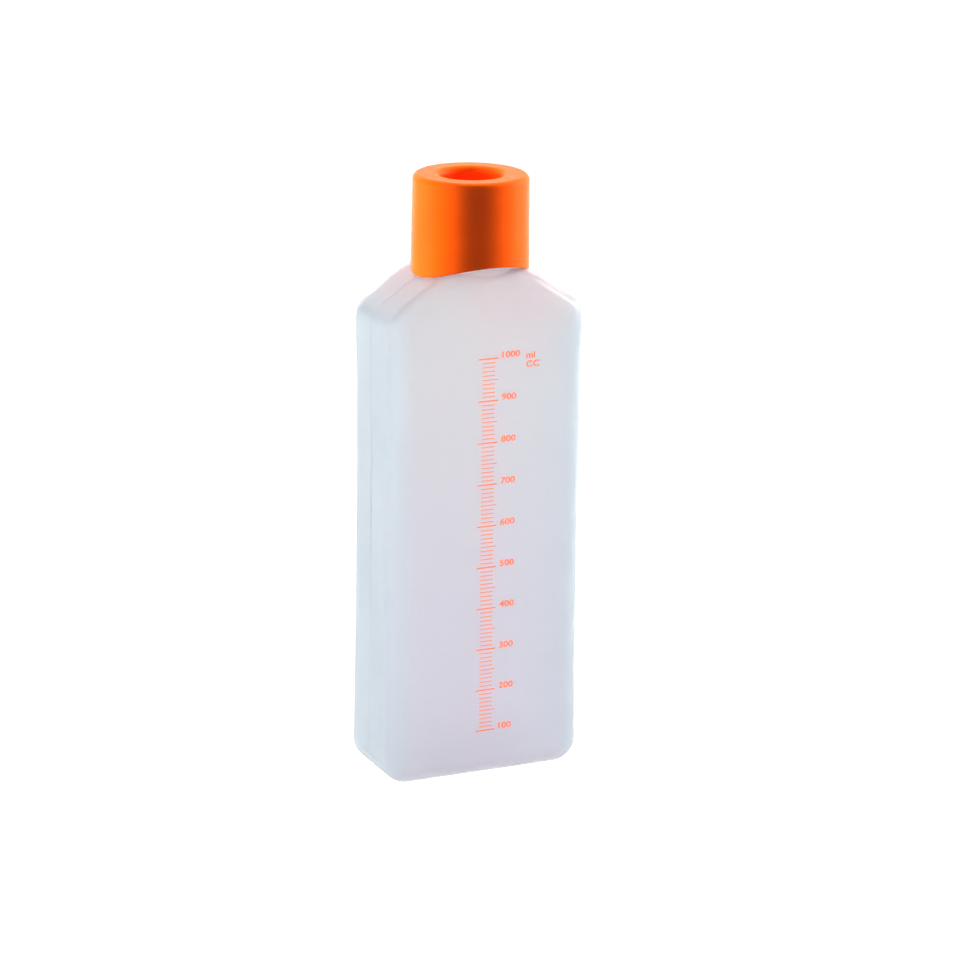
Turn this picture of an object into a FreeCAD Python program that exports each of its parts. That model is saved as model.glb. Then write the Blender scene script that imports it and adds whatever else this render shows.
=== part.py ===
import FreeCAD, Part
import math
import os

import Sketcher
from FreeCAD import Vector

# Urine bottle: a flat blow-moulded bottle with an arched shoulder and a wide upright neck, closed
# by a push-on cap with a round well in its top and a gasket inside it.
# Millimetres, +Z up, +X across the wide faces, +Y from the graduated face towards the back.
# The origin is the middle of the footprint, on the surface that the bottle stands on.

SIZES = (
    # the blow-moulded body
    ("body_width", 100.6, "across the narrow sides, at the shoulder"),
    ("foot_width", 101.2, "across the narrow sides, at the foot"),
    ("body_depth", 52.6, "across the wide faces, at the foot and at the shoulder"),
    ("body_height", 251.2, "foot to the middle of the domed shoulder"),
    ("waist_sink", 0.7, "how far each side sinks in at half height"),
    ("foot_corner", 12.0, "rounding from the foot to a narrow side"),
    ("shoulder_height", 223.0, "where a narrow side turns into the shoulder"),
    ("shoulder_corner", 10.6, "rounding from a narrow side to the shoulder"),
    ("dome_radius", 56.8, "arch of the shoulder, seen from the front"),
    ("edge_radius", 9.5, "rounding all round each wide face"),
    ("wall", 1.2, "wall of the body and the neck"),
    # the recess under the foot
    ("panel_width", 62.0, "recess under the foot, across"),
    ("panel_depth", 22.0, "recess under the foot, front to back"),
    ("panel_rise", 3.0, "height of the recess"),
    ("panel_corner", 8.0, "corners of the recess"),
    ("panel_mouth", 1.7, "rounding of the mouth of the recess"),
    ("panel_roof", 0.9, "rounding of the roof of the recess"),
    # the neck
    ("neck_radius", 24.4, "outside of the neck"),
    ("neck_root", 234.0, "where the neck starts, inside the shoulder"),
    ("neck_fillet", 1.5, "fillet between the neck and the shoulder"),
    ("lip_edge", 0.4, "rounding of the lip"),
    ("bead_radius", 25.6, "outside of the two guide beads on the neck"),
    ("bead_size", 2.6, "height of a guide bead where it meets the neck"),
    ("lower_bead", 257.0, "middle of the lower guide bead"),
    ("upper_bead", 283.0, "middle of the upper guide bead"),
    # the cap
    ("cap_top", 291.4, "top of the cap when it is on"),
    ("cap_radius", 28.0, "outside of the skirt at the rim"),
    ("cap_top_radius", 27.4, "outside of the skirt at the top"),
    ("skirt_radius", 25.7, "inside of the skirt"),
    ("skirt_foot", 243.0, "lowest point of the skirt before the rim is arched"),
    ("rim_gap", 0.4, "clearance between the rim and the shoulder"),
    ("rim_edge", 0.4, "rounding of the rim"),
    ("cap_edge", 2.8, "rounding of the top edge"),
    ("deck", 2.0, "thickness of the top and of the well"),
    ("well_radius", 14.6, "inside of the well"),
    ("well_drop", 16.0, "depth of the well"),
    ("well_lip", 3.2, "rounding of the mouth of the well"),
    ("well_corner", 2.5, "rounding of the floor of the well"),
    # the gasket
    ("seal_inner", 17.6, "hole of the gasket"),
    ("seal_outer", 25.5, "outside of the gasket"),
    ("seal_height", 2.0, "thickness of the gasket"),
    ("seal_edge", 0.3, "bevel of the gasket's edges"),
    ("seat_gap", 0.1, "clearance between the gasket and the lip"),
)
SIZE = {name: value for name, value, meaning in SIZES}
LIP = SIZE["cap_top"] - SIZE["deck"] - SIZE["seal_height"] - SIZE["seat_gap"]
LIP_HEIGHT = "Sizes.cap_top - Sizes.deck - Sizes.seal_height - Sizes.seat_gap"
NEAR = 0.01

# Places on a curve of a sketch, and the sketch's own origin and axes
START, END, CENTRE = 1, 2, 3
ORIGIN, ACROSS, UPWARD = -1, -1, -2


def make_sizes(doc):
    """The sheet that every dimension is bound to."""
    sheet = doc.addObject("Spreadsheet::Sheet", "Sizes")
    for row, (name, value, meaning) in enumerate(SIZES, start=1):
        sheet.set("A%d" % row, name)
        sheet.set("B%d" % row, str(value))
        sheet.set("C%d" % row, meaning)
        sheet.setAlias("B%d" % row, name)
    doc.recompute()
    return sheet


# Helpers for sketches and features


def new_body(doc, name):
    """A sub-part; its label names its file."""
    body = doc.addObject("PartDesign::Body", name)
    body.Label = name
    return body


def new_sketch(body, name, plane, height=None):
    """A sketch on one of the body's own origin planes, raised along it by an expression."""
    sketch = body.newObject("Sketcher::SketchObject", name)
    support = [item for item in body.Origin.OriginFeatures if item.Role == plane]
    sketch.AttachmentSupport = [(support[0], "")]
    sketch.MapMode = "FlatFace"
    if height:
        sketch.setExpression(".AttachmentOffset.Base.z", height)
    return sketch


def dimension(sketch, name, expression, kind, *places):
    """A named dimension of what is drawn, bound to the sheet."""
    if kind == "Radius":
        value = sketch.Geometry[places[0]].Radius
    else:
        span = sketch.getPoint(*places[2:]) - sketch.getPoint(*places[:2])
        value = span.x if kind == "DistanceX" else span.y
    index = sketch.addConstraint(Sketcher.Constraint(kind, *places, value))
    sketch.renameConstraint(index, name)
    sketch.setExpression("Constraints." + name, expression)


def join(sketch, kind, pairs):
    """The same kind of joint between the ends of several pairs of curves."""
    for first, first_end, second, second_end in pairs:
        sketch.addConstraint(Sketcher.Constraint(kind, first, first_end, second, second_end))


def arc(x, y, radius, start, end):
    """An arc about (x, y), anticlockwise between two angles in degrees."""
    circle = Part.Circle(Vector(x, y, 0), Vector(0, 0, 1), radius)
    return Part.ArcOfCircle(circle, math.radians(start), math.radians(end))


def line(x0, y0, x1, y1):
    return Part.LineSegment(Vector(x0, y0, 0), Vector(x1, y1, 0))


def add_circle(sketch, size):
    """A circle of one of the sizes, about the middle of the sketch."""
    circle = sketch.addGeometry(Part.Circle(Vector(0, 0, 0), Vector(0, 0, 1), SIZE[size]))
    sketch.addConstraint(Sketcher.Constraint("Coincident", circle, CENTRE, ORIGIN, START))
    dimension(sketch, size, "Sizes." + size, "Radius", circle)


def draw_polygon(sketch, corners):
    """Closed run of straight lines through the corners; each line starts at its own corner."""
    following = corners[1:] + corners[:1]
    lines = [sketch.addGeometry(line(*first, *second)) for first, second in zip(corners, following)]
    join(sketch, "Coincident", [
        (first, END, second, START) for first, second in zip(lines, lines[1:] + lines[:1])
    ])
    return lines


def new_feature(body, kind, name, **settings):
    """A PartDesign feature with its plain settings; its sizes are bound afterwards."""
    feature = body.newObject("PartDesign::" + kind, name)
    for setting, value in settings.items():
        setattr(feature, setting, value)
    return feature


def round_edges(body, kind, name, base, expression, wanted):
    """A fillet or chamfer on the edges of base that the test wanted picks out."""
    body.Document.recompute()
    names = []
    for number, edge in enumerate(base.Shape.Edges, start=1):
        if wanted(edge):
            names.append("Edge%d" % number)
    feature = new_feature(body, kind, name, Base=(base, names))
    feature.setExpression("Radius" if kind == "Fillet" else "Size", expression)
    return feature


def is_ring(edge, radius, height):
    """Whether an edge is a whole level circle of this radius at this height."""
    curve = edge.Curve
    if not isinstance(curve, Part.Circle) or not edge.isClosed():
        return False
    return abs(curve.Radius - radius) < NEAR and abs(curve.Center.z - height) < NEAR


# The bottle


def draw_front_outline(body):
    """Outline of the body seen from the front: foot, hollow sides, corners and domed shoulder."""
    half = SIZE["body_width"] / 2
    flat = SIZE["foot_width"] / 2 - SIZE["foot_corner"]
    height = SIZE["shoulder_height"]
    foot, corner, dome = SIZE["foot_corner"], SIZE["shoulder_corner"], SIZE["dome_radius"]
    middle = SIZE["body_height"] - dome
    sweep = height ** 2 / (8 * SIZE["waist_sink"])
    tilt = math.degrees(height / 2 / sweep)
    run, rise = half - corner, height - middle
    lean = math.atan2(rise, run) + math.acos((dome - corner) / math.hypot(run, rise))
    turn = math.degrees(lean)
    top = (dome * math.cos(lean), middle + dome * math.sin(lean))
    low = (run + corner * math.cos(lean), height + corner * math.sin(lean))

    sketch = new_sketch(body, "FrontOutline", "XZ_Plane")
    base = sketch.addGeometry(line(-flat, 0, flat, 0))
    foot_right = sketch.addGeometry(arc(flat, foot, foot, -90, 0))
    side_right = sketch.addGeometry(arc(half + sweep, height / 2, sweep, 180 - tilt, 180 + tilt))
    corner_right = sketch.addGeometry(arc(run, height, corner, 0, turn))
    slope_right = sketch.addGeometry(line(*low, *top))
    arch = sketch.addGeometry(arc(0, middle, dome, turn, 180 - turn))
    slope_left = sketch.addGeometry(line(-top[0], top[1], -low[0], low[1]))
    corner_left = sketch.addGeometry(arc(-run, height, corner, 180 - turn, 180))
    side_left = sketch.addGeometry(arc(-half - sweep, height / 2, sweep, -tilt, tilt))
    foot_left = sketch.addGeometry(arc(-flat, foot, foot, 180, 270))
    join(sketch, "Tangent", (
        (base, END, foot_right, START),
        (foot_right, END, side_right, END),
        (side_right, START, corner_right, START),
        (corner_right, END, slope_right, START),
        (slope_right, END, arch, START),
        (arch, END, slope_left, START),
        (slope_left, END, corner_left, START),
        (corner_left, END, side_left, END),
        (side_left, START, foot_left, START),
        (foot_left, END, base, START),
    ))
    sketch.addConstraint([
        Sketcher.Constraint("PointOnObject", base, START, ACROSS),
        Sketcher.Constraint("Symmetric", base, START, base, END, UPWARD),
        Sketcher.Constraint("Symmetric", corner_left, END, corner_right, START, UPWARD),
        Sketcher.Constraint("PointOnObject", arch, CENTRE, UPWARD),
        Sketcher.Constraint("Equal", foot_right, foot_left),
        Sketcher.Constraint("Equal", side_right, side_left),
        Sketcher.Constraint("Equal", corner_right, corner_left),
    ])
    dimension(sketch, "flat", "Sizes.foot_width - 2 * Sizes.foot_corner",
              "DistanceX", base, START, base, END)
    dimension(sketch, "half_width", "Sizes.body_width / 2",
              "DistanceX", ORIGIN, START, corner_right, START)
    dimension(sketch, "turn_height", "Sizes.shoulder_height",
              "DistanceY", ORIGIN, START, corner_right, START)
    dimension(sketch, "dome_middle", "Sizes.body_height - Sizes.dome_radius",
              "DistanceY", ORIGIN, START, arch, CENTRE)
    dimension(sketch, "foot", "Sizes.foot_corner", "Radius", foot_right)
    dimension(sketch, "corner", "Sizes.shoulder_corner", "Radius", corner_right)
    dimension(sketch, "dome", "Sizes.dome_radius", "Radius", arch)
    dimension(sketch, "hollow", "Sizes.shoulder_height ^ 2 / (8 * Sizes.waist_sink)",
              "Radius", side_right)
    return sketch


def draw_side_trim(body):
    """All that lies outside the hollow wide faces, seen from the side."""
    half = SIZE["body_depth"] / 2
    height = SIZE["body_height"]
    sweep = height ** 2 / (8 * SIZE["waist_sink"])
    tilt = math.degrees(math.asin(height / 2 / sweep))
    reach = sweep - sweep * math.cos(math.radians(tilt))
    outside = SIZE["body_depth"]

    sketch = new_sketch(body, "SideTrim", "YZ_Plane")
    for side, name in ((1, "back"), (-1, "front")):
        face = 0 if side < 0 else 180
        centre = side * (half - reach + sweep)
        curve = sketch.addGeometry(arc(centre, height / 2, sweep, face - tilt, face + tilt))
        high, low = (END, START) if side < 0 else (START, END)
        upper = sketch.addGeometry(line(side * half, height, side * outside, height))
        outer = sketch.addGeometry(line(side * outside, height, side * outside, 0))
        lower = sketch.addGeometry(line(side * outside, 0, side * half, 0))
        join(sketch, "Coincident", (
            (curve, high, upper, START),
            (upper, END, outer, START),
            (outer, END, lower, START),
            (lower, END, curve, low),
        ))
        sketch.addConstraint([
            Sketcher.Constraint("Horizontal", upper),
            Sketcher.Constraint("Vertical", outer),
            Sketcher.Constraint("PointOnObject", lower, START, ACROSS),
            Sketcher.Constraint("PointOnObject", lower, END, ACROSS),
            Sketcher.Constraint("Vertical", curve, START, curve, END),
        ])
        nearer, further = (ORIGIN, upper) if side > 0 else (upper, ORIGIN)
        dimension(sketch, name + "_half", "Sizes.body_depth / 2",
                  "DistanceX", nearer, START, further, START)
        nearer, further = (upper, outer) if side > 0 else (outer, upper)
        dimension(sketch, name + "_outside", "Sizes.body_depth / 2",
                  "DistanceX", nearer, START, further, START)
        dimension(sketch, name + "_height", "Sizes.body_height",
                  "DistanceY", ORIGIN, START, upper, START)
        dimension(sketch, name + "_hollow", "Sizes.body_height ^ 2 / (8 * Sizes.waist_sink)",
                  "Radius", curve)
    return sketch


def draw_foot_panel(body):
    """Rounded outline of the recess under the foot."""
    across, deep, corner = SIZE["panel_width"] / 2, SIZE["panel_depth"] / 2, SIZE["panel_corner"]
    x, y = across - corner, deep - corner
    sketch = new_sketch(body, "FootPanel", "XY_Plane")
    sides = [
        sketch.addGeometry(line(-x, -deep, x, -deep)),
        sketch.addGeometry(line(across, -y, across, y)),
        sketch.addGeometry(line(x, deep, -x, deep)),
        sketch.addGeometry(line(-across, y, -across, -y)),
    ]
    turns = [
        sketch.addGeometry(arc(x, -y, corner, -90, 0)),
        sketch.addGeometry(arc(x, y, corner, 0, 90)),
        sketch.addGeometry(arc(-x, y, corner, 90, 180)),
        sketch.addGeometry(arc(-x, -y, corner, 180, 270)),
    ]
    for number in range(4):
        join(sketch, "Tangent", (
            (sides[number], END, turns[number], START),
            (turns[number], END, sides[(number + 1) % 4], START),
        ))
    sketch.addConstraint([
        Sketcher.Constraint("Equal", turns[0], turns[1]),
        Sketcher.Constraint("Equal", turns[0], turns[2]),
        Sketcher.Constraint("Equal", turns[0], turns[3]),
        Sketcher.Constraint("Horizontal", sides[0]),
        Sketcher.Constraint("Vertical", sides[1]),
        Sketcher.Constraint("Horizontal", sides[2]),
        Sketcher.Constraint("Vertical", sides[3]),
        Sketcher.Constraint("Symmetric", turns[0], CENTRE, turns[2], CENTRE, ORIGIN, START),
    ])
    dimension(sketch, "corner", "Sizes.panel_corner", "Radius", turns[0])
    dimension(sketch, "across", "Sizes.panel_width - 2 * Sizes.panel_corner",
              "DistanceX", sides[0], START, sides[0], END)
    dimension(sketch, "deep", "Sizes.panel_depth - 2 * Sizes.panel_corner",
              "DistanceY", sides[1], START, sides[1], END)
    return sketch


def draw_bead(body, name, place):
    """Half section of a guide bead: a low ridge with sloping sides, rooted in the neck's wall."""
    inner, outer = SIZE["neck_radius"] - SIZE["wall"] / 2, SIZE["bead_radius"]
    half, flat = SIZE["bead_size"] / 2, SIZE["bead_size"] / 4
    middle = SIZE[place]
    corners = (
        (inner, middle - half),
        (inner, middle + half),
        (outer, middle + flat),
        (outer, middle - flat),
    )
    sketch = new_sketch(body, name, "XZ_Plane")
    root, upper, crest, lower = draw_polygon(sketch, corners)
    sketch.addConstraint([
        Sketcher.Constraint("Vertical", root),
        Sketcher.Constraint("Vertical", crest),
    ])
    dimension(sketch, "inner", "Sizes.neck_radius - Sizes.wall / 2",
              "DistanceX", ORIGIN, START, root, START)
    dimension(sketch, "outer", "Sizes.bead_radius", "DistanceX", ORIGIN, START, crest, START)
    for corner, curve, offset in (
        ("low", root, "- Sizes.bead_size / 2"),
        ("high", upper, "+ Sizes.bead_size / 2"),
        ("crest_high", crest, "+ Sizes.bead_size / 4"),
        ("crest_low", lower, "- Sizes.bead_size / 4"),
    ):
        dimension(sketch, corner, "Sizes.%s %s" % (place, offset),
                  "DistanceY", ORIGIN, START, curve, START)
    return sketch


def make_bottle(doc):
    """The blow-moulded bottle: one even wall from the foot to the lip of the neck."""
    body = new_body(doc, "bottle")
    slab = new_feature(body, "Pad", "Slab", Profile=draw_front_outline(body), Midplane=True)
    slab.setExpression("Length", "Sizes.body_depth * 1.5")
    faces = new_feature(body, "Pocket", "WideFaces", Profile=draw_side_trim(body), Midplane=True)
    faces.Type = "ThroughAll"
    half = SIZE["body_depth"] / 2 - SIZE["waist_sink"] - NEAR

    def goes_round_a_face(edge):
        return all(abs(vertex.Y) > half for vertex in edge.Vertexes) and edge.BoundBox.YLength < half

    round_edges(body, "Fillet", "FaceEdges", faces, "Sizes.edge_radius", goes_round_a_face)

    panel = new_feature(body, "Pocket", "FootRecess", Profile=draw_foot_panel(body), Reversed=True)
    panel.setExpression("Length", "Sizes.panel_rise")
    reach = SIZE["panel_width"] / 2 + NEAR

    def outlines_the_recess(edge, height):
        box = edge.BoundBox
        level = abs(box.ZMin - height) < NEAR and abs(box.ZMax - height) < NEAR
        return level and max(box.XMax, -box.XMin) < reach and box.YMax < SIZE["panel_depth"]

    roof = round_edges(body, "Fillet", "RecessRoof", panel, "Sizes.panel_roof",
                       lambda edge: outlines_the_recess(edge, SIZE["panel_rise"]))
    round_edges(body, "Fillet", "RecessMouth", roof, "Sizes.panel_mouth",
                lambda edge: outlines_the_recess(edge, 0))

    neck_sketch = new_sketch(body, "NeckCircle", "XY_Plane", "Sizes.neck_root")
    add_circle(neck_sketch, "neck_radius")
    neck = new_feature(body, "Pad", "Neck", Profile=neck_sketch)
    neck.setExpression("Length", LIP_HEIGHT + " - Sizes.neck_root")
    doc.recompute()
    lip = ["Face%d" % number for number, face in enumerate(neck.Shape.Faces, start=1)
           if face.BoundBox.ZMin > LIP - NEAR]
    shell = new_feature(body, "Thickness", "Wall", Base=(neck, lip), Reversed=True)
    shell.Join = "Intersection"
    shell.setExpression("Value", "Sizes.wall")

    def joins_neck_and_shoulder(edge):
        middle = edge.valueAt((edge.FirstParameter + edge.LastParameter) / 2)
        on_the_neck = abs(math.hypot(middle.x, middle.y) - SIZE["neck_radius"]) < NEAR
        return on_the_neck and edge.BoundBox.ZMax < SIZE["body_height"] + NEAR

    root = round_edges(body, "Fillet", "NeckRoot", shell, "Sizes.neck_fillet", joins_neck_and_shoulder)
    bore = SIZE["neck_radius"] - SIZE["wall"]
    round_edges(body, "Fillet", "LipEdges", root, "Sizes.lip_edge",
                lambda edge: is_ring(edge, bore, LIP) or is_ring(edge, SIZE["neck_radius"], LIP))

    for name, place in (("LowerBead", "lower_bead"), ("UpperBead", "upper_bead")):
        section = draw_bead(body, name + "Section", place)
        new_feature(body, "Revolution", name, Profile=section, ReferenceAxis=(section, ["V_Axis"]))
    return body


# The cap and its gasket


def draw_cap_section(body):
    """Half section of the cap: well, deck and tapering skirt, before the rim is arched."""
    top, deck, foot = SIZE["cap_top"], SIZE["deck"], SIZE["skirt_foot"]
    well, skirt = SIZE["well_radius"], SIZE["skirt_radius"]
    floor = top - SIZE["well_drop"]
    sketch = new_sketch(body, "CapSection", "XZ_Plane")
    below, well_wall, deck_below, skirt_wall, rim, taper, deck_top, mouth, well_floor, axis = draw_polygon(
        sketch,
        [(0, floor - deck), (well + deck, floor - deck), (well + deck, top - deck), (skirt, top - deck),
         (skirt, foot), (SIZE["cap_radius"], foot), (SIZE["cap_top_radius"], top), (well, top),
         (well, floor), (0, floor)])
    for level in (below, deck_below, rim, deck_top, well_floor):
        sketch.addConstraint(Sketcher.Constraint("Horizontal", level))
    for upright in (well_wall, skirt_wall, mouth):
        sketch.addConstraint(Sketcher.Constraint("Vertical", upright))
    sketch.addConstraint(Sketcher.Constraint("PointOnObject", axis, START, UPWARD))
    sketch.addConstraint(Sketcher.Constraint("PointOnObject", axis, END, UPWARD))
    for name, expression, curve in (
        ("well_outside", "Sizes.well_radius + Sizes.deck", well_wall),
        ("skirt", "Sizes.skirt_radius", skirt_wall),
        ("rim", "Sizes.cap_radius", taper),
        ("edge", "Sizes.cap_top_radius", deck_top),
        ("mouth", "Sizes.well_radius", mouth),
    ):
        dimension(sketch, name, expression, "DistanceX", ORIGIN, START, curve, START)
    for name, expression, curve in (
        ("below", "Sizes.cap_top - Sizes.well_drop - Sizes.deck", below),
        ("deck_below", "Sizes.cap_top - Sizes.deck", deck_below),
        ("foot", "Sizes.skirt_foot", rim),
        ("top", "Sizes.cap_top", deck_top),
        ("floor", "Sizes.cap_top - Sizes.well_drop", well_floor),
    ):
        dimension(sketch, name, expression, "DistanceY", ORIGIN, START, curve, START)
    return sketch


def draw_rim_arch(body):
    """The round arch, concentric with the shoulder's dome, that the rim follows."""
    sketch = new_sketch(body, "RimArch", "XZ_Plane")
    radius = SIZE["dome_radius"] + SIZE["rim_gap"]
    middle = Vector(0, SIZE["body_height"] - SIZE["dome_radius"], 0)
    circle = sketch.addGeometry(Part.Circle(middle, Vector(0, 0, 1), radius))
    sketch.addConstraint(Sketcher.Constraint("PointOnObject", circle, CENTRE, UPWARD))
    dimension(sketch, "arch", "Sizes.dome_radius + Sizes.rim_gap", "Radius", circle)
    dimension(sketch, "middle", "Sizes.body_height - Sizes.dome_radius",
              "DistanceY", ORIGIN, START, circle, CENTRE)
    return sketch


def make_cap(doc):
    """The push-on cap: a deep skirt with an arched rim, and a round well in the top."""
    body = new_body(doc, "cap")
    section = draw_cap_section(body)
    turned = new_feature(body, "Revolution", "Turned", Profile=section, ReferenceAxis=(section, ["V_Axis"]))
    top, well = SIZE["cap_top"], SIZE["well_radius"]
    floor, outside = top - SIZE["well_drop"], well + SIZE["deck"]
    base = turned
    for name, size, radius, height in (
        ("TopEdge", "Sizes.cap_edge", SIZE["cap_top_radius"], top),
        ("WellMouth", "Sizes.well_lip", well, top),
        ("WellFloor", "Sizes.well_corner", well, floor),
        ("WellUnderside", "Sizes.well_corner + Sizes.deck", outside, floor - SIZE["deck"]),
    ):
        base = round_edges(body, "Fillet", name, base, size,
                           lambda edge: is_ring(edge, radius, height))
    arched = new_feature(body, "Pocket", "ArchedRim", Profile=draw_rim_arch(body), Midplane=True)
    arched.Type = "ThroughAll"
    middle, arch = SIZE["body_height"] - SIZE["dome_radius"], SIZE["dome_radius"] + SIZE["rim_gap"]

    def bounds_the_rim(edge):
        ends = [edge.valueAt(place) for place in (edge.FirstParameter, edge.LastParameter)]
        return all(abs(math.hypot(end.x, end.z - middle) - arch) < NEAR for end in ends)

    round_edges(body, "Fillet", "RimEdges", arched, "Sizes.rim_edge", bounds_the_rim)
    return body


def make_seal_ring(doc):
    """The flat gasket under the cap's top, which the lip of the neck comes up to."""
    body = new_body(doc, "seal_ring")
    lower = "Sizes.cap_top - Sizes.deck - Sizes.seal_height"
    sketch = new_sketch(body, "SealCircles", "XY_Plane", lower)
    add_circle(sketch, "seal_outer")
    add_circle(sketch, "seal_inner")
    ring = new_feature(body, "Pad", "Ring", Profile=sketch)
    ring.setExpression("Length", "Sizes.seal_height")
    round_edges(body, "Chamfer", "Bevels", ring, "Sizes.seal_edge",
                lambda edge: isinstance(edge.Curve, Part.Circle))
    return body


PARTS = (make_bottle, make_cap, make_seal_ring)


def check(doc, bodies):
    """Stop on a failed feature, or on a sub-part that is empty, broken or in several pieces."""
    doc.recompute()
    for item in doc.Objects:
        failed = [state for state in item.State if state in ("Invalid", "Error")]
        if failed:
            raise RuntimeError("%s: %s" % (item.Name, item.getStatusString()))
    for body in bodies:
        if body.Shape.isNull() or not body.Shape.isValid() or len(body.Shape.Solids) != 1:
            raise RuntimeError("%s has no single valid solid" % body.Label)


doc = FreeCAD.newDocument("urine_bottle")
make_sizes(doc)
bodies = [make(doc) for make in PARTS]
check(doc, bodies)
os.makedirs("parts", exist_ok=True)
for body in bodies:
    body.Shape.exportStep("parts/%s.step" % body.Label)
    box = body.Shape.BoundBox
    print("%-12s %9.1f mm3  x %.1f..%.1f  y %.1f..%.1f  z %.1f..%.1f" % (
        body.Label, body.Shape.Volume, box.XMin, box.XMax, box.YMin, box.YMax, box.ZMin, box.ZMax))
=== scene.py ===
"""Looks of the urine bottle: translucent blow-moulded body, printed scale, cap and gasket."""

import math

import bmesh
import bpy
from bpy.props import FloatProperty, FloatVectorProperty, IntProperty, PointerProperty
from bpy.types import Operator, Panel, PropertyGroup
from mathutils import Matrix, Vector
from mathutils.bvhtree import BVHTree


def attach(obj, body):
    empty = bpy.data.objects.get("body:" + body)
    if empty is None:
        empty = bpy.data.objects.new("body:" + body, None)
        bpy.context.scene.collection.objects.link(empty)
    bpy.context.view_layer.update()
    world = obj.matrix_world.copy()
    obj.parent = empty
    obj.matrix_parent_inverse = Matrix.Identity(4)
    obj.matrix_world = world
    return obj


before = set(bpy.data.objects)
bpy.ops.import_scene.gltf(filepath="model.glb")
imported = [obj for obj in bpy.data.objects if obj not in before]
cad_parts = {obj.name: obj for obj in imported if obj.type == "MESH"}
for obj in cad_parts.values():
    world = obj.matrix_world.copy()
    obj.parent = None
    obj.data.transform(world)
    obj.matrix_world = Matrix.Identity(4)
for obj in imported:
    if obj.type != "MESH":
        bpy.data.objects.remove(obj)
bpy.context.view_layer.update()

bl_info = {
    "name": "Urine Bottle",
    "version": (1, 0, 0),
    "blender": (4, 5, 0),
    "location": "View3D > Sidebar > Urine Bottle",
    "description": "Finishes a graduated bottle, its cap and its gasket, and sets the stage",
    "category": "Object",
}

MM = 0.001

# Studio softboxes: turn and lift are seen from the camera, in degrees; the rest is in metres
# and watts.
# A lamp with "only" lights that one node, without a mirror image in it.
LAMPS = (
    dict(name="left_softbox", turn=-95, lift=0, reach=1.1, aim=0.15, size=(0.7, 1.0),
         power=2.8, colour=(0.8, 0.95, 1.0)),
    dict(name="right_softbox", turn=114, lift=25, reach=1.1, aim=0.20, size=(0.25, 0.5),
         power=6.0, colour=(0.96, 0.98, 1.0)),
    dict(name="right_fill", turn=100, lift=0, reach=1.1, aim=0.15, size=(0.7, 1.0),
         power=1.8, colour=(0.9, 0.97, 1.0)),
    dict(name="key_softbox", turn=-48, lift=41, reach=1.2, aim=0.22, size=(0.25, 0.25),
         power=3.4, colour=(0.98, 0.98, 1.0)),
    dict(name="back_softbox", turn=180, lift=0, reach=0.8, aim=0.42, size=(1.6, 0.8),
         power=4.6, colour=(1.0, 1.0, 1.0)),
    dict(name="back_fill", turn=180, lift=0, reach=0.8, aim=0.22, size=(1.6, 0.4),
         power=4.4, colour=(1.0, 1.0, 1.0)),
    dict(name="cap_left", turn=-90, lift=0, reach=0.6, aim=0.27, size=(0.15, 0.3),
         power=12.0, colour=(1.0, 1.0, 0.8), only="cap"),
    dict(name="cap_right", turn=103, lift=0, reach=0.6, aim=0.27, size=(0.15, 0.3),
         power=8.5, colour=(1.0, 1.0, 0.8), only="cap"),
    dict(name="cap_top", turn=180, lift=52, reach=0.6, aim=0.29, size=(0.1, 0.1),
         power=10.0, colour=(1.0, 1.0, 0.8), only="cap"),
)


# What a user would change


class BodySettings(PropertyGroup):
    """The blow-moulded body."""

    plastic: FloatVectorProperty(
        name="Plastic", description="Colour of the milky plastic", subtype="COLOR",
        size=3, min=0, max=1, default=(0.96, 0.95, 0.955))
    foot: FloatVectorProperty(
        name="Foot", description="Colour towards the foot", subtype="COLOR",
        size=3, min=0, max=1, default=(0.95, 0.93, 0.98))
    # Painted light: the narrow sides take a blue tint, standing in for the cool side light and the
    # bluer look of the wall where it turns away
    side: FloatVectorProperty(
        name="Side", description="Colour of the narrow sides", subtype="COLOR",
        size=3, min=0, max=1, default=(0.91, 0.965, 0.995))
    cloud: FloatVectorProperty(
        name="Cloud", description="Colour of the slightly thicker patches of the wall",
        subtype="COLOR", size=3, min=0, max=1, default=(0.935, 0.93, 0.96))
    # Painted light: a pink tint on the shoulder under the cap, standing in for the orange light that
    # the lit cap passes and throws onto it
    painted_cap_glow: FloatVectorProperty(
        name="Blush", description="Colour under the cap, where the cap shows through",
        subtype="COLOR", size=3, min=0, max=1, default=(0.975, 0.915, 0.925))
    line_width: FloatProperty(
        name="Parting line width", description="Width of the mould's parting line",
        subtype="DISTANCE", unit="LENGTH", min=0, default=0.7 * MM)
    line_height: FloatProperty(
        name="Parting line height", description="How proud the parting line stands",
        subtype="DISTANCE", unit="LENGTH", min=0, default=0.12 * MM)
    line_foot: FloatProperty(
        name="Parting line foot", description="Height where the parting line starts",
        subtype="DISTANCE", unit="LENGTH", default=2.5 * MM)
    line_top: FloatProperty(
        name="Parting line top", description="Height where the parting line ends, under the cap",
        subtype="DISTANCE", unit="LENGTH", default=244.5 * MM)
    clear: FloatProperty(
        name="Clear", description="Share of the light that passes through the wall", min=0, max=1,
        default=0.72)


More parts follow.
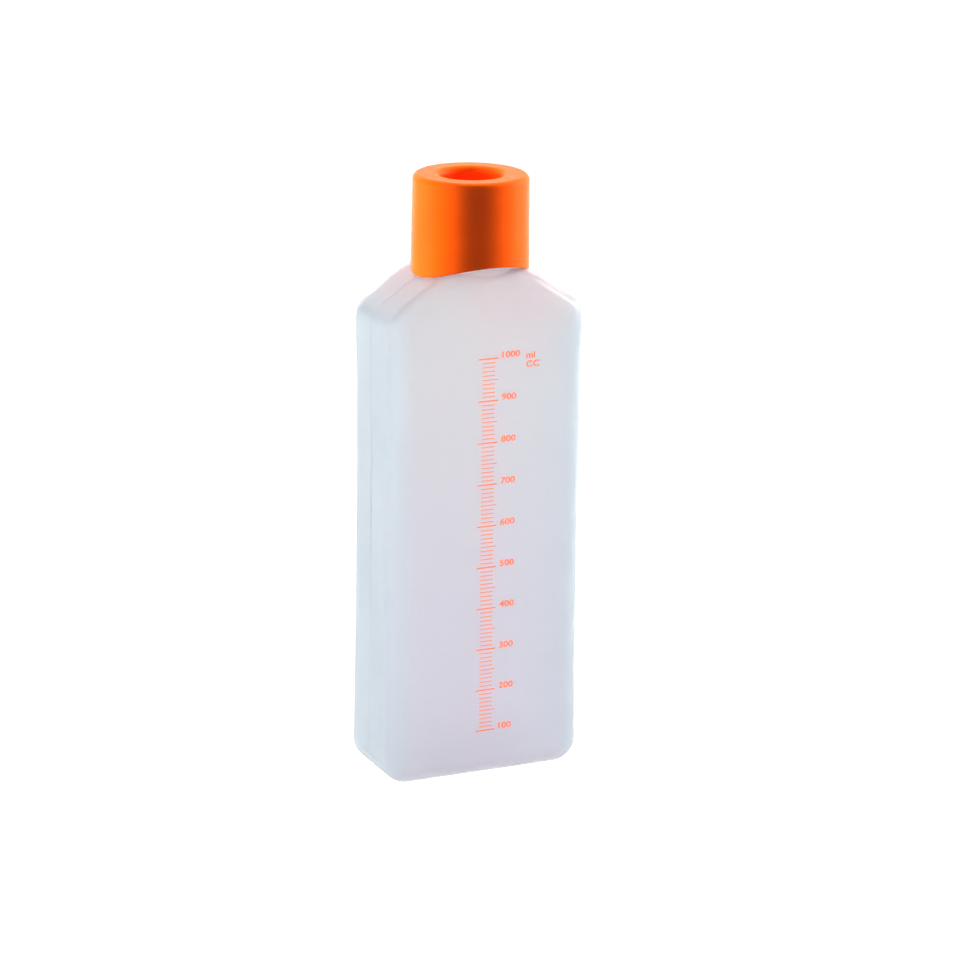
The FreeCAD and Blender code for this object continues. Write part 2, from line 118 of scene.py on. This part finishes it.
class ScaleSettings(PropertyGroup):
    """The printed millilitre scale."""

    ink: FloatVectorProperty(
        name="Ink", description="Colour of the printed scale", subtype="COLOR",
        size=3, min=0, max=1, default=(1.0, 0.2, 0.015))
    # Partly real, partly painted glow: day-glow ink looks brighter than its lamps make it, and this
    # emission stands in for that by giving the ink light of its own
    glow: FloatProperty(
        name="Glow", description="How much light the day-glow ink adds of its own", min=0,
        default=0.3)
    first_mark: FloatProperty(
        name="First mark", description="Height of the lowest mark", subtype="DISTANCE",
        unit="LENGTH", default=23.6 * MM)
    mark_step: FloatProperty(
        name="Step", description="Height from one mark to the next", subtype="DISTANCE",
        unit="LENGTH", default=2.048 * MM)
    mark_count: IntProperty(
        name="Marks", description="How many marks the scale has", min=1, default=91)
    left: FloatProperty(
        name="Left edge", description="Where the short marks start, across the front",
        subtype="DISTANCE", unit="LENGTH", default=-4.65 * MM)
    short: FloatProperty(
        name="Short mark", description="Length of a ten's mark", subtype="DISTANCE",
        unit="LENGTH", default=6.5 * MM)
    medium: FloatProperty(
        name="Medium mark", description="Length of a fifty's mark", subtype="DISTANCE",
        unit="LENGTH", default=8.0 * MM)
    long: FloatProperty(
        name="Long mark", description="Length of a hundred's mark", subtype="DISTANCE",
        unit="LENGTH", default=10.1 * MM)
    tilt: FloatProperty(
        name="Tilt", description="Lean of the printed scale", subtype="ANGLE", unit="ROTATION",
        default=math.radians(0.24))
    numeral: FloatProperty(
        name="Numeral height", description="Height of a printed digit", subtype="DISTANCE",
        unit="LENGTH", default=3.1 * MM)


class CapSettings(PropertyGroup):
    """The push-on cap and its gasket."""

    plastic: FloatVectorProperty(
        name="Cap", description="Colour of the cap", subtype="COLOR",
        size=3, min=0, max=1, default=(0.94, 0.092, 0.002))
    rubber: FloatVectorProperty(
        name="Gasket", description="Colour of the gasket", subtype="COLOR",
        size=3, min=0, max=1, default=(0.75, 0.74, 0.70))


class StageSettings(PropertyGroup):
    """Floor, lights and camera."""

    floor: FloatVectorProperty(
        name="Floor", description="Colour of the floor", subtype="COLOR",
        size=3, min=0, max=1, default=(0.3, 0.3, 0.3))
    air: FloatVectorProperty(
        name="Air", description="Colour of the light from all round", subtype="COLOR",
        size=3, min=0, max=1, default=(1.0, 0.98, 1.0))
    air_strength: FloatProperty(
        name="Air strength", description="Strength of the light from all round", min=0, default=0.3)
    azimuth: FloatProperty(
        name="Azimuth", description="Camera's turn from straight ahead, towards +X",
        subtype="ANGLE", unit="ROTATION", default=math.radians(-24.73))
    elevation: FloatProperty(
        name="Elevation", description="Camera's height angle", subtype="ANGLE",
        unit="ROTATION", default=math.radians(16.22))
    roll: FloatProperty(
        name="Roll", description="Camera's turn about its own line of sight", subtype="ANGLE",
        unit="ROTATION", default=math.radians(0.79))
    distance: FloatProperty(
        name="Distance", description="From the camera to the middle of the bottle",
        subtype="DISTANCE", unit="LENGTH", default=1.8)
    focal: FloatProperty(
        name="Focal length", description="Camera's focal length in millimetres", default=141.23)


class BottleSettings(PropertyGroup):
    """All settings of the urine bottle."""

    body: PointerProperty(type=BodySettings)
    scale: PointerProperty(type=ScaleSettings)
    cap: PointerProperty(type=CapSettings)
    stage: PointerProperty(type=StageSettings)


# Helpers


def connect(tree, node, name, value):
    """Set a node's input to a value, or link a socket to it."""
    socket = node.inputs[name]
    if isinstance(value, bpy.types.NodeSocket):
        tree.links.new(value, socket)
    else:
        socket.default_value = value


def new_material(name):
    """An empty node material with its Principled shader and Object coordinates."""
    material = bpy.data.materials.new(name)
    material.use_nodes = True
    tree = material.node_tree
    shader = tree.nodes["Principled BSDF"]
    coordinates = tree.nodes.new("ShaderNodeTexCoord").outputs["Object"]
    return material, tree, shader, coordinates


def noise(tree, coordinates, pitch, detail=2.0, roughness=0.5):
    """Soft noise whose features are about pitch metres across, from 0 to 1."""
    node = tree.nodes.new("ShaderNodeTexNoise")
    connect(tree, node, "Vector", coordinates)
    node.inputs["Scale"].default_value = 1 / pitch
    node.inputs["Detail"].default_value = detail
    node.inputs["Roughness"].default_value = roughness
    return node.outputs["Fac"]


def spread(tree, value, low, high):
    """A 0 to 1 value mapped onto low to high."""
    node = tree.nodes.new("ShaderNodeMapRange")
    connect(tree, node, "Value", value)
    node.inputs["From Min"].default_value = 0.3
    node.inputs["From Max"].default_value = 0.7
    node.inputs["To Min"].default_value = low
    node.inputs["To Max"].default_value = high
    return node.outputs["Result"]


def between(tree, value, start, end):
    """A value's smooth rise from 0 at start to 1 at end."""
    node = tree.nodes.new("ShaderNodeMapRange")
    node.interpolation_type = "SMOOTHSTEP"
    connect(tree, node, "Value", value)
    node.inputs["From Min"].default_value = start
    node.inputs["From Max"].default_value = end
    return node.outputs["Result"]


def components(tree, vector):
    """The X, Y and Z of a vector."""
    node = tree.nodes.new("ShaderNodeSeparateXYZ")
    tree.links.new(vector, node.inputs[0])
    return node.outputs[:3]


def maths(tree, operation, first, second=None):
    """The distance between two points, or a sum on plain values."""
    kind = "ShaderNodeVectorMath" if operation == "DISTANCE" else "ShaderNodeMath"
    node = tree.nodes.new(kind)
    node.operation = operation
    for socket, value in zip(node.inputs, (first, second)):
        if isinstance(value, bpy.types.NodeSocket):
            tree.links.new(value, socket)
        elif value is not None:
            socket.default_value = value
    return node.outputs["Value"]


def blend_colours(tree, factor, first, second, share=1.0):
    """Two colours, or colour sockets, mixed by a 0 to 1 value."""
    if share != 1:
        factor = maths(tree, "MULTIPLY", factor, share)
    node = tree.nodes.new("ShaderNodeMix")
    node.data_type = "RGBA"
    tree.links.new(factor, node.inputs["Factor"])
    a, b = (socket for socket in node.inputs if socket.type == "RGBA")
    for socket, colour in ((a, first), (b, second)):
        if isinstance(colour, bpy.types.NodeSocket):
            tree.links.new(colour, socket)
        else:
            socket.default_value = (*colour, 1)
    return next(socket for socket in node.outputs if socket.type == "RGBA")


def bump(tree, height, distance, strength=1.0, normal=None):
    """A bump of the given depth, on top of an earlier one."""
    node = tree.nodes.new("ShaderNodeBump")
    connect(tree, node, "Height", height)
    node.inputs["Distance"].default_value = distance
    node.inputs["Strength"].default_value = strength
    if normal:
        tree.links.new(normal, node.inputs["Normal"])
    return node.outputs["Normal"]


def dress(piece, material):
    """Give a piece one material in place of its own."""
    for slot in piece.material_slots:
        slot.link = "OBJECT"
        slot.material = material
    if not piece.material_slots:
        piece.data.materials.append(material)


def new_piece(name, mesh, body, material):
    """A finished piece of the object that moves with a body."""
    piece = bpy.data.objects.new(name, mesh)
    bpy.context.scene.collection.objects.link(piece)
    mesh.materials.clear()
    mesh.materials.append(material)
    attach(piece, body)
    return piece


def direction(turn, lift):
    """The way from the bottle towards a camera or lamp at this turn and height angle."""
    return Vector((math.sin(turn) * math.cos(lift), -math.cos(turn) * math.cos(lift), math.sin(lift)))


# Materials


def milky_plastic(settings):
    """Translucent polyethylene: cloudy, soft sheen, faintly rippled by the mould."""
    material, tree, shader, place = new_material("milky_plastic")
    x, y, z = components(tree, place)
    cloud = noise(tree, place, 60 * MM)
    low = between(tree, z, 230 * MM, 20 * MM)
    colour = blend_colours(tree, low, settings.plastic, settings.foot)
    colour = blend_colours(tree, between(tree, cloud, 0.7, 0.3), colour, settings.cloud, share=0.5)
    # Painted light: blue tint on the narrow sides, from 34 mm out to 50 mm across, in place of the
    # cool side light falling there
    side = maths(tree, "ABSOLUTE", x)
    colour = blend_colours(tree, between(tree, side, 34 * MM, 50 * MM), colour, settings.side)
    # Painted light: pink tint round a point under the cap, fading out from 27 mm to 46 mm away, in
    # place of the cap's orange glow on the shoulder
    cap_glow_distance = maths(tree, "DISTANCE", place, (16 * MM, 0, 240 * MM))
    colour = blend_colours(tree, between(tree, cap_glow_distance, 46 * MM, 27 * MM), colour, settings.painted_cap_glow)
    tree.links.new(colour, shader.inputs["Base Color"])
    sheen = noise(tree, place, 9 * MM, detail=3)
    tree.links.new(spread(tree, sheen, 0.70, 0.80), shader.inputs["Roughness"])
    shader.inputs["Transmission Weight"].default_value = settings.clear
    shader.inputs["IOR"].default_value = 1.45
    shader.inputs["Coat Weight"].default_value = 0.5
    shader.inputs["Coat Roughness"].default_value = 0.2
    ripple = bump(tree, noise(tree, place, 14 * MM), 0.04 * MM)
    grain = bump(tree, noise(tree, place, 0.5 * MM, detail=1), 0.004 * MM, normal=ripple)
    tree.links.new(grain, shader.inputs["Normal"])
    return material


def cap_plastic(settings):
    """Injection-moulded orange plastic, semi-gloss with a fine eroded grain."""
    material, tree, shader, place = new_material("cap_plastic")
    tone = noise(tree, place, 18 * MM, detail=3)
    deep = tuple(value * 0.9 for value in settings.plastic)
    colour = blend_colours(tree, spread(tree, tone, 0, 1), settings.plastic, deep)
    tree.links.new(colour, shader.inputs["Base Color"])
    wear = noise(tree, place, 4 * MM, detail=4, roughness=0.6)
    tree.links.new(spread(tree, wear, 0.30, 0.42), shader.inputs["Roughness"])
    shader.inputs["IOR"].default_value = 1.38
    shader.inputs["Specular IOR Level"].default_value = 0.08
    shader.inputs["Transmission Weight"].default_value = 0.12
    grain = bump(tree, noise(tree, place, 0.35 * MM, detail=2), 0.006 * MM)
    tree.links.new(grain, shader.inputs["Normal"])
    return material


def gasket_rubber(settings):
    """Soft matt elastomer."""
    material, tree, shader, place = new_material("gasket_rubber")
    tone = noise(tree, place, 6 * MM, detail=3)
    dusty = tuple(value * 0.88 for value in settings.rubber)
    colour = blend_colours(tree, spread(tree, tone, 0, 1), settings.rubber, dusty)
    tree.links.new(colour, shader.inputs["Base Color"])
    tree.links.new(spread(tree, tone, 0.6, 0.75), shader.inputs["Roughness"])
    tree.links.new(bump(tree, noise(tree, place, 0.8 * MM), 0.02 * MM), shader.inputs["Normal"])
    return material


def scale_ink(settings):
    """Screen-printed ink: thin, slightly uneven."""
    material, tree, shader, place = new_material("scale_ink")
    patch = noise(tree, place, 1.2 * MM, detail=3)
    thin = tuple(value + (0.9 - value) * 0.12 for value in settings.ink)
    colour = blend_colours(tree, spread(tree, patch, 0, 1), settings.ink, thin)
    tree.links.new(colour, shader.inputs["Base Color"])
    tree.links.new(spread(tree, patch, 0.6, 0.75), shader.inputs["Roughness"])
    shader.inputs["Transmission Weight"].default_value = 0.6
    # Painted glow, partly real: emission gives the day-glow ink light of its own under any lamp
    shader.inputs["Emission Color"].default_value = (*settings.ink, 1)
    shader.inputs["Emission Strength"].default_value = settings.glow
    return material


def stage_white(settings):
    """The floor's matt white."""
    material, _, shader, _ = new_material("stage_white")
    shader.inputs["Base Color"].default_value = (*settings.floor, 1)
    shader.inputs["Roughness"].default_value = 0.9
    shader.inputs["Specular IOR Level"].default_value = 0.0
    shader.inputs["Emission Color"].default_value = (1, 1, 1, 1)
    shader.inputs["Emission Strength"].default_value = 1.0
    return material


# The printed scale


INK_OUT = 0.07 * MM  # how far the ink stands proud of the wall
INK_IN = -0.01 * MM  # how deep its underside lies: below 0, so just clear of the wall
INK_SPREAD = 0.075 * MM  # how much the strokes of the lettering thicken
THIN_MARK, THICK_MARK = 0.4 * MM, 0.62 * MM
LONG_START = 2.0 * MM  # how much further left a hundred's mark starts
NUMBER_RISE = 1.4 * MM  # from a mark to the middle of its number
UNIT_RIGHT = 12.4 * MM  # from the numbers to the units
UNITS = (("ml", 1.3 * MM), ("CC", 5.6 * MM))  # each with its drop below the top number
CAPITAL_SHARE = 0.73  # height of a digit as a share of the font's size
FAR_AWAY = 1.0


def marks_tree(material):
    """Geometry Nodes: a ladder of thin marks laid on the front of a bottle."""
    tree = bpy.data.node_groups.new("scale_marks", "GeometryNodeTree")
    face = tree.interface

    def taken(name, kind):
        return face.new_socket(name, in_out="INPUT", socket_type=kind)

    face.new_socket("Geometry", in_out="OUTPUT", socket_type="NodeSocketGeometry")
    taken("Geometry", "NodeSocketGeometry")
    taken("Bottle", "NodeSocketObject")
    taken("Count", "NodeSocketInt")
    for name in (
        "First", "Step", "Foot", "Lean", "Left", "Short", "Medium", "Long", "Thin", "Thick",
    ):
        taken(name, "NodeSocketFloat")
    given = tree.nodes.new("NodeGroupInput").outputs
    out = tree.nodes.new("NodeGroupOutput")

    def choose(condition, no, yes):
        node = tree.nodes.new("GeometryNodeSwitch")
        node.input_type = "FLOAT"
        tree.links.new(condition, node.inputs["Switch"])
        for name, value in (("False", no), ("True", yes)):
            connect(tree, node, name, value)
        return node.outputs[0]

    def vector(x=0.0, y=0.0, z=0.0):
        node = tree.nodes.new("ShaderNodeCombineXYZ")
        for name, value in (("X", x), ("Y", y), ("Z", z)):
            connect(tree, node, name, value)
        return node.outputs[0]

    def every(number):
        return maths(tree, "LESS_THAN", maths(tree, "MODULO", index, number), 0.5)

    index = tree.nodes.new("GeometryNodeInputIndex").outputs[0]
    hundred, fifty = every(10.0), every(5.0)
    length = choose(hundred, choose(fifty, given["Short"], given["Medium"]), given["Long"])
    height = choose(hundred, given["Thin"], given["Thick"])
    start = choose(hundred, given["Left"], maths(tree, "SUBTRACT", given["Left"], LONG_START))

    line = tree.nodes.new("GeometryNodeMeshLine")
    tree.links.new(given["Count"], line.inputs["Count"])
    tree.links.new(vector(given["Foot"], z=given["First"]), line.inputs["Start Location"])
    tree.links.new(vector(given["Lean"], z=given["Step"]), line.inputs["Offset"])
    shifted = tree.nodes.new("GeometryNodeSetPosition")
    tree.links.new(line.outputs[0], shifted.inputs["Geometry"])
    middle = maths(tree, "ADD", start, maths(tree, "MULTIPLY", length, 0.5))
    tree.links.new(vector(x=middle), shifted.inputs["Offset"])

    block = tree.nodes.new("GeometryNodeMeshCube")
    block.inputs["Size"].default_value = (1, 1, 1)
    for name, number in (("Vertices X", 6), ("Vertices Y", 2), ("Vertices Z", 2)):
        block.inputs[name].default_value = number
    laid = tree.nodes.new("GeometryNodeInstanceOnPoints")
    tree.links.new(shifted.outputs[0], laid.inputs["Points"])
    tree.links.new(block.outputs["Mesh"], laid.inputs["Instance"])
    tree.links.new(vector(length, INK_OUT + INK_IN, height), laid.inputs["Scale"])
    real = tree.nodes.new("GeometryNodeRealizeInstances")
    tree.links.new(laid.outputs[0], real.inputs[0])

    # Each corner moves back onto the bottle's front.
    place = tree.nodes.new("GeometryNodeInputPosition").outputs[0]
    x, y, z = components(tree, place)
    bottle = tree.nodes.new("GeometryNodeObjectInfo")
    tree.links.new(given["Bottle"], bottle.inputs["Object"])
    ray = tree.nodes.new("GeometryNodeRaycast")
    tree.links.new(bottle.outputs["Geometry"], ray.inputs["Target Geometry"])
    tree.links.new(vector(x, -FAR_AWAY, z), ray.inputs["Source Position"])
    ray.inputs["Ray Direction"].default_value = (0, 1, 0)
    ray.inputs["Ray Length"].default_value = 2 * FAR_AWAY
    wall = components(tree, ray.outputs["Hit Position"])[1]
    proud = maths(tree, "ADD", y, (INK_IN - INK_OUT) / 2)
    back = tree.nodes.new("GeometryNodeSetPosition")
    tree.links.new(real.outputs[0], back.inputs["Geometry"])
    tree.links.new(vector(x, maths(tree, "ADD", wall, proud), z), back.inputs["Position"])

    coloured = tree.nodes.new("GeometryNodeSetMaterial")
    coloured.inputs["Material"].default_value = material
    tree.links.new(back.outputs[0], coloured.inputs["Geometry"])
    tree.links.new(coloured.outputs[0], out.inputs[0])
    return tree


def front_of(bottle):
    """A function that gives the bottle's front at a place across and a height."""
    graph = bpy.context.evaluated_depsgraph_get()
    surface = BVHTree.FromObject(bottle, graph)

    def front(x, z):
        hit = surface.ray_cast(Vector((x, -FAR_AWAY, z)), Vector((0, 1, 0)))[0]
        return hit.y

    return front


def lean(settings, mark):
    """How far the scale has moved across at a mark, against its top mark."""
    return -math.tan(settings.tilt) * settings.mark_step * (settings.mark_count - 1 - mark)


def printed_text(name, words, height, x, z, front, stretch=1.2):
    """Thin printed lettering, its lower left corner at x and z, laid on the front."""
    curve = bpy.data.curves.new(name, "FONT")
    curve.body = words
    curve.size = height / CAPITAL_SHARE
    curve.extrude = (INK_OUT + INK_IN) / 2
    curve.offset = INK_SPREAD
    curve.resolution_u = 6
    carrier = bpy.data.objects.new(name, curve)
    bpy.context.scene.collection.objects.link(carrier)
    graph = bpy.context.evaluated_depsgraph_get()
    mesh = bpy.data.meshes.new_from_object(carrier.evaluated_get(graph))
    bpy.data.objects.remove(carrier)
    bpy.data.curves.remove(curve)
    left = min(vertex.co.x for vertex in mesh.vertices)
    low = min(vertex.co.y for vertex in mesh.vertices)
    for vertex in mesh.vertices:
        across, up, out = vertex.co
        right, rise = x + (across - left) * stretch, z + up - low
        vertex.co = (right, front(right, rise) - out + (INK_IN - INK_OUT) / 2, rise)
    return mesh


def joined(name, meshes):
    """One mesh from several."""
    whole = bmesh.new()
    for mesh in meshes:
        whole.from_mesh(mesh)
        bpy.data.meshes.remove(mesh)
    bmesh.ops.remove_doubles(whole, verts=whole.verts, dist=1e-7)
    bmesh.ops.recalc_face_normals(whole, faces=whole.faces)
    result = bpy.data.meshes.new(name)
    whole.to_mesh(result)
    whole.free()
    return result


# The parting line


HALF_WAY = 120 * MM
ROUND = 8  # corners of the ridge's section


def outline_of(bottle, side, foot, top):
    """Points up one side of the bottle where the mould halves met, with their outward normals."""
    graph = bpy.context.evaluated_depsgraph_get()
    surface = BVHTree.FromObject(bottle, graph)
    middle = Vector((0, 0, HALF_WAY))
    points = []
    for step in range(361):
        angle = math.radians(step / 2)
        out = Vector((math.sin(angle) * side, 0, math.cos(angle)))
        place, normal = surface.ray_cast(middle + out * FAR_AWAY, -out)[:2]
        if foot < place.z < top:
            points.append((place, Vector((normal.x, 0, normal.z)).normalized()))
    return points


def bead(points, wide, proud):
    """A low rounded ridge along points: closed, its base buried in the wall."""
    shape = bmesh.new()
    rings = []
    turns = [2 * math.pi * corner / ROUND for corner in range(ROUND)]
    profile = [(math.cos(turn), math.sin(turn)) for turn in turns]
    for place, normal in points:
        rings.append([
            shape.verts.new(place + Vector((0, side * wide / 2, 0)) + normal * up * proud)
            for side, up in profile])
    for first, second in zip(rings, rings[1:]):
        for a, b in zip(range(ROUND), (*range(1, ROUND), 0)):
            shape.faces.new((first[a], first[b], second[b], second[a]))
    shape.faces.new(rings[0])
    shape.faces.new(rings[-1][::-1])
    bmesh.ops.recalc_face_normals(shape, faces=shape.faces)
    for face in shape.faces:
        face.smooth = True
    mesh = bpy.data.meshes.new("parting_line")
    shape.to_mesh(mesh)
    shape.free()
    return mesh


# Operators


FLOOR_RADIUS = 12
AIM_HEIGHT, AIM_RIGHT, AIM_DOWN = 150 * MM, 6.15 * MM, 7.77 * MM  # what the camera looks at


class FinishBody(Operator):
    """Give the bottle its milky translucent plastic"""

    bl_idname = "urine_bottle.finish_body"
    bl_label = "Finish the bottle"

    def execute(self, context):
        settings = context.scene.urine_bottle.body
        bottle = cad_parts["bottle"]
        plastic = milky_plastic(settings)
        dress(bottle, plastic)
        strips = [
            bead(outline_of(bottle, side, settings.line_foot, settings.line_top),
                 settings.line_width, settings.line_height)
            for side in (-1, 1)]
        line = joined("parting_line", strips)
        new_piece("parting_line", line, "bottle", plastic)
        return {"FINISHED"}


class PrintScale(Operator):
    """Print the millilitre scale on the bottle's front"""

    bl_idname = "urine_bottle.print_scale"
    bl_label = "Print the scale"

    def execute(self, context):
        settings = context.scene.urine_bottle.scale
        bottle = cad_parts["bottle"]
        ink = scale_ink(settings)
        self.print_marks(context, settings, bottle, ink)
        self.print_numbers(settings, bottle, ink)
        return {"FINISHED"}

    def print_marks(self, context, settings, bottle, ink):
        carrier = bpy.data.objects.new("marks_carrier", bpy.data.meshes.new("marks_carrier"))
        context.scene.collection.objects.link(carrier)
        modifier = carrier.modifiers.new("Marks", "NODES")
        tree = marks_tree(ink)
        modifier.node_group = tree
        values = {
            "Bottle": bottle, "Count": settings.mark_count, "First": settings.first_mark,
            "Step": settings.mark_step, "Foot": -lean(settings, 0),
            "Lean": -math.tan(settings.tilt) * settings.mark_step,
            "Left": settings.left, "Short": settings.short, "Medium": settings.medium,
            "Long": settings.long, "Thin": THIN_MARK, "Thick": THICK_MARK,
        }
        for item in tree.interface.items_tree:
            if item.in_out == "INPUT" and item.name in values:
                modifier[item.identifier] = values[item.name]
        graph = context.evaluated_depsgraph_get()
        mesh = bpy.data.meshes.new_from_object(carrier.evaluated_get(graph))
        mesh.name = "scale_marks"
        bpy.data.objects.remove(carrier)
        new_piece("scale_marks", mesh, "bottle", ink)

    def print_numbers(self, settings, bottle, ink):
        front = front_of(bottle)
        start = settings.left + settings.long
        meshes = []
        for number in range(1, 11):
            mark = (number - 1) * 10
            middle = settings.first_mark + mark * settings.mark_step + NUMBER_RISE
            low = middle - settings.numeral / 2
            across = start - lean(settings, mark)
            meshes.append(printed_text(
                "number", str(number * 100), settings.numeral, across, low, front))
        for word, drop in UNITS:
            meshes.append(printed_text(
                "unit", word, settings.numeral, start + UNIT_RIGHT, low - drop, front))
        new_piece("scale_numbers", joined("scale_numbers", meshes), "bottle", ink)


class FinishCap(Operator):
    """Give the cap its orange plastic and the gasket its rubber"""

    bl_idname = "urine_bottle.finish_cap"
    bl_label = "Finish the cap and gasket"

    def execute(self, context):
        settings = context.scene.urine_bottle.cap
        dress(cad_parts["cap"], cap_plastic(settings))
        dress(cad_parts["seal_ring"], gasket_rubber(settings))
        return {"FINISHED"}


class SetStage(Operator):
    """Lay the floor, hang the lights and place the camera"""

    bl_idname = "urine_bottle.set_stage"
    bl_label = "Set the stage"

    def execute(self, context):
        settings = context.scene.urine_bottle.stage
        self.lay_floor(context, settings)
        self.light(context, settings)
        self.place_camera(context, settings)
        context.scene.view_settings.view_transform = "Standard"
        return {"FINISHED"}

    def lay_floor(self, context, settings):
        mesh = bpy.data.meshes.new("floor")
        shape = bmesh.new()
        bmesh.ops.create_circle(shape, cap_ends=True, segments=96, radius=FLOOR_RADIUS)
        shape.to_mesh(mesh)
        shape.free()
        floor = bpy.data.objects.new("floor", mesh)
        floor.visible_diffuse = False
        context.scene.collection.objects.link(floor)
        mesh.materials.append(stage_white(settings))

    def light(self, context, settings):
        world = bpy.data.worlds.new("studio")
        context.scene.world = world
        world.use_nodes = True
        air = world.node_tree.nodes["Background"].inputs
        air["Color"].default_value = (*settings.air, 1)
        air["Strength"].default_value = settings.air_strength
        for lamp in LAMPS:
            self.hang(context, settings, lamp)

    def hang(self, context, settings, lamp):
        away = direction(settings.azimuth + math.radians(lamp["turn"]), math.radians(lamp["lift"]))
        light = bpy.data.lights.new(lamp["name"], "AREA")
        light.shape = "RECTANGLE"
        light.size, light.size_y = lamp["size"]
        light.energy = lamp["power"]
        light.color = lamp["colour"]
        lantern = bpy.data.objects.new(lamp["name"], light)
        lantern.visible_camera = False
        if "only" in lamp:
            lantern.visible_glossy = lantern.visible_transmission = False
            lantern.light_linking.receiver_collection = self.alone(lamp["only"])
        context.scene.collection.objects.link(lantern)
        lantern.location = Vector((0, 0, lamp["aim"])) + away * lamp["reach"]
        lantern.rotation_euler = away.to_track_quat("Z", "Y").to_euler()

    def alone(self, piece):
        """A collection of one piece, kept out of the scene, for a lamp that lights nothing else."""
        name = "lit_" + piece
        if name not in bpy.data.collections:
            bpy.data.collections.new(name).objects.link(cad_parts[piece])
        return bpy.data.collections[name]

    def place_camera(self, context, settings):
        turn, roll = settings.azimuth, settings.roll
        back = direction(turn, settings.elevation)
        right = Vector((math.cos(turn), math.sin(turn), 0))
        up = back.cross(right)
        lens = bpy.data.cameras.new("camera")
        lens.lens = settings.focal
        lens.clip_end = 50
        camera = bpy.data.objects.new("camera", lens)
        context.scene.collection.objects.link(camera)
        aim = Vector((0, 0, AIM_HEIGHT)) + right * AIM_RIGHT - up * AIM_DOWN
        spot = aim + back * settings.distance
        across = right * math.cos(roll) + up * math.sin(roll)
        upright = up * math.cos(roll) - right * math.sin(roll)
        camera.matrix_world = Matrix((
            (across.x, upright.x, back.x, spot.x),
            (across.y, upright.y, back.y, spot.y),
            (across.z, upright.z, back.z, spot.z),
            (0, 0, 0, 1),
        ))
        context.scene.camera = camera


class BottlePanel(Panel):
    """The urine bottle's settings and steps, in the sidebar."""

    bl_idname = "VIEW3D_PT_urine_bottle"
    bl_label = "Urine Bottle"
    bl_space_type = "VIEW_3D"
    bl_region_type = "UI"
    bl_category = "Urine Bottle"

    def draw(self, context):
        settings = context.scene.urine_bottle
        for title, group, step in (
            ("Bottle", settings.body, FinishBody),
            ("Scale", settings.scale, PrintScale),
            ("Cap", settings.cap, FinishCap),
            ("Stage", settings.stage, SetStage),
        ):
            box = self.layout.box()
            box.label(text=title)
            for name in group.bl_rna.properties.keys():
                if name not in ("rna_type", "name"):
                    box.prop(group, name)
            box.operator(step.bl_idname)


CLASSES = (
    BodySettings, ScaleSettings, CapSettings, StageSettings, BottleSettings,
    FinishBody, PrintScale, FinishCap, SetStage, BottlePanel,
)


def register():
    for item in CLASSES:
        bpy.utils.register_class(item)
    bpy.types.Scene.urine_bottle = PointerProperty(type=BottleSettings)


def unregister():
    del bpy.types.Scene.urine_bottle
    for item in reversed(CLASSES):
        bpy.utils.unregister_class(item)


def main():
    register()
    bpy.ops.urine_bottle.set_stage()
    bpy.ops.urine_bottle.finish_body()
    bpy.ops.urine_bottle.print_scale()
    bpy.ops.urine_bottle.finish_cap()


if __name__ == "__main__":
    main()
